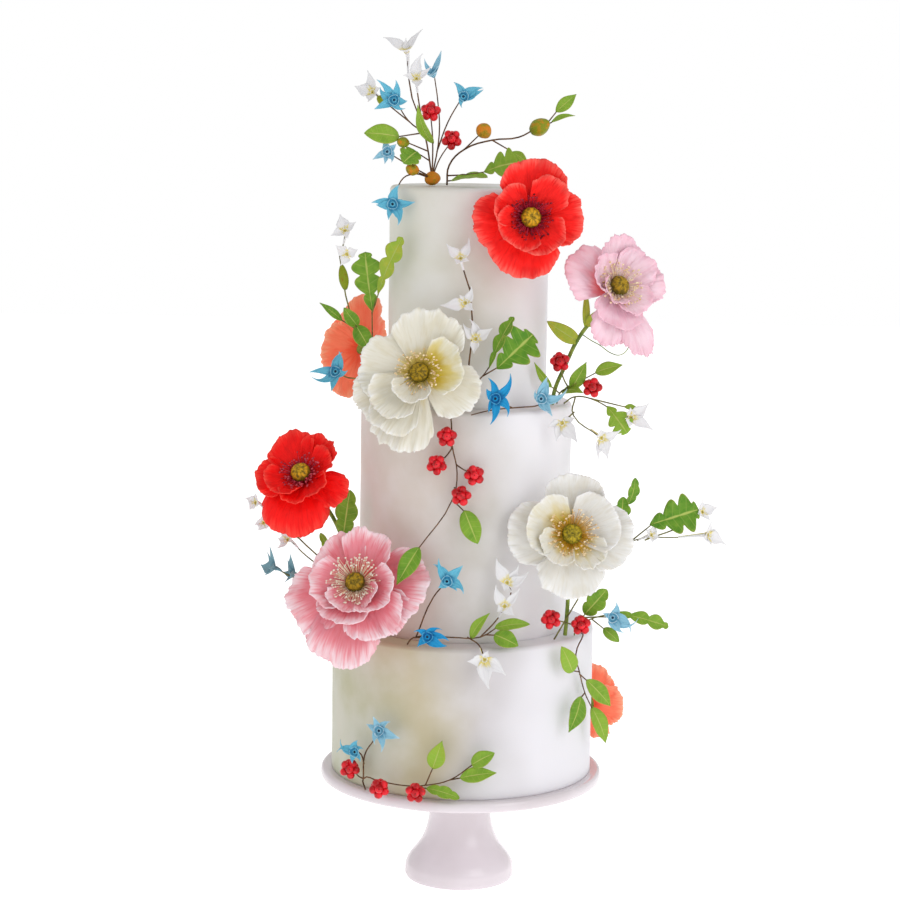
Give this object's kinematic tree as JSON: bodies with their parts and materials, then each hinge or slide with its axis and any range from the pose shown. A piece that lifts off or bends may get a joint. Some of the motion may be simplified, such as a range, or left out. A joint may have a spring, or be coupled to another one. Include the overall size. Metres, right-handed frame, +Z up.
{
  "type": "wedding cake",
  "caption": "Tall round tiered cake in smooth icing, dressed with large sugar poppies and wired sprays of blossoms, berries and leaves, on a pedestal cake stand.",
  "frame": {"origin": "centre of the flat foot of the cake stand, where it meets the table", "axes": "+Z up through the tiers, +X to the viewer's right, -Y towards the front with the flowers"},
  "size_m": [0.4543, 0.2888, 0.8298],
  "materials": {
    "porcelain": "glossy glaze",
    "icing": "smooth matt sugar icing",
    "red_petal": "matt sugar paste",
    "blush_petal": "matt sugar paste",
    "pink_petal": "matt sugar paste",
    "cream_petal": "matt sugar paste",
    "coral_petal": "matt sugar paste",
    "pod_green": "matt sugar paste",
    "berry_red": "glossy sugar glaze",
    "blue_petal": "matt sugar paste",
    "leaf_green": "satin sugar paste"
  },
  "bodies": {
    "root": {"cake_stand": "porcelain", "tier_bottom": "icing", "tier_middle": "icing", "tier_top": "icing", "poppy_red_top_petals": "red_petal", "poppy_red_top_centre": "pod_green", "poppy_blush_petals": "blush_petal", "poppy_blush_centre": "pod_green", "poppy_white_left_petals": "cream_petal", "poppy_white_left_centre": "pod_green", "poppy_red_left_petals": "red_petal", "poppy_red_left_centre": "pod_green", "poppy_pink_petals": "pink_petal", "poppy_pink_centre": "pod_green", "poppy_white_right_petals": "cream_petal", "poppy_white_right_centre": "pod_green", "poppy_coral_left_petals": "coral_petal", "poppy_coral_left_centre": "pod_green", "poppy_coral_right_petals": "coral_petal", "poppy_coral_right_centre": "pod_green", "blossom_blue_top_high": "blue_petal", "blossom_blue_top_grey": "blue_petal", "blossom_blue_top_right": "blue_petal", "blossom_blue_top_pale": "blue_petal", "blossom_blue_top_edge": "blue_petal", "blossom_blue_step_right": "blue_petal", "blossom_blue_step_left": "blue_petal", "blossom_blue_left": "blue_petal", "blossom_blue_shelf_high": "blue_petal", "blossom_blue_shelf_low": "blue_petal", "blossom_blue_right": "blue_petal", "blossom_blue_base_pale": "blue_petal", "blossom_blue_base": "blue_petal", "berries_top_left": "berry_red", "berries_top_right": "berry_red", "berries_step_upper": "berry_red", "berries_step_lower": "berry_red", "berries_twig_first": "berry_red", "berries_twig_left": "berry_red", "berries_twig_right": "berry_red", "berries_twig_last": "berry_red", "berries_shelf_left": "berry_red", "berries_shelf_right": "berry_red", "berries_base_left": "berry_red", "berries_base_middle": "berry_red", "berries_base_right": "berry_red", "spray_top_fan": "leaf_green", "spray_top_branch": "leaf_green", "spray_front_white": "leaf_green", "spray_step_right": "leaf_green", "spray_step_low": "leaf_green", "twig_step_edge": "leaf_green", "spray_left_high": "leaf_green", "spray_left_low": "leaf_green", "twig_berries": "leaf_green", "spray_shelf_front": "leaf_green", "spray_shelf_right": "leaf_green", "twig_hanging_right": "leaf_green", "spray_side_right": "leaf_green", "spray_base": "leaf_green"}
  },
  "joints": []
}
